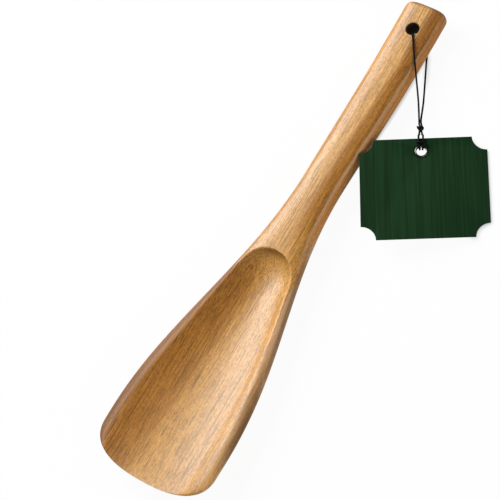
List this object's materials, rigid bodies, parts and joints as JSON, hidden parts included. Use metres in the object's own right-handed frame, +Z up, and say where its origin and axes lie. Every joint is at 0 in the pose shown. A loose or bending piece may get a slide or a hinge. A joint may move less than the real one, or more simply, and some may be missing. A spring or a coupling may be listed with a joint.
{
  "type": "wooden spatula",
  "caption": "Long carved wooden cooking spatula with a hollowed flat-tipped blade, hanging hole, thin cord loop and a blank card swing tag with a metal eyelet.",
  "frame": {"origin": "on the table plane, under the middle of the wooden body's box", "axes": "+Y along the spatula from the blade tip to the handle end, +Z up out of the hollowed front, +X to the side the tag lies on"},
  "size_m": [0.1376, 0.3299, 0.0181],
  "materials": {
    "wood": "oiled satin with fine straight grain along the length",
    "cord": "twisted waxed thread, matt",
    "card": "dark green uncoated paperboard, matt",
    "eyelet": "bright rolled metal"
  },
  "bodies": {
    "spatula": {"spatula_body": "wood"},
    "cord": {"cord_upper_loop": "cord", "cord_knot": "cord"},
    "tag": {"tag_hitch": "cord", "tag_card": "card", "tag_eyelet": "eyelet"}
  },
  "joints": [
    {"name": "cord_swing", "type": "hinge", "parent": "spatula", "child": "cord", "pos_m": [0, 0.1466, 0.0085], "axis": [0, 0, 1], "range_deg": [0, 110]},
    {"name": "tag_lift", "type": "hinge", "parent": "cord", "child": "tag", "pos_m": [0.03593, 0.091, 0.00781], "axis": [-0.8352, -0.5179, 0.1849], "range_deg": [0, 95]}
  ]
}
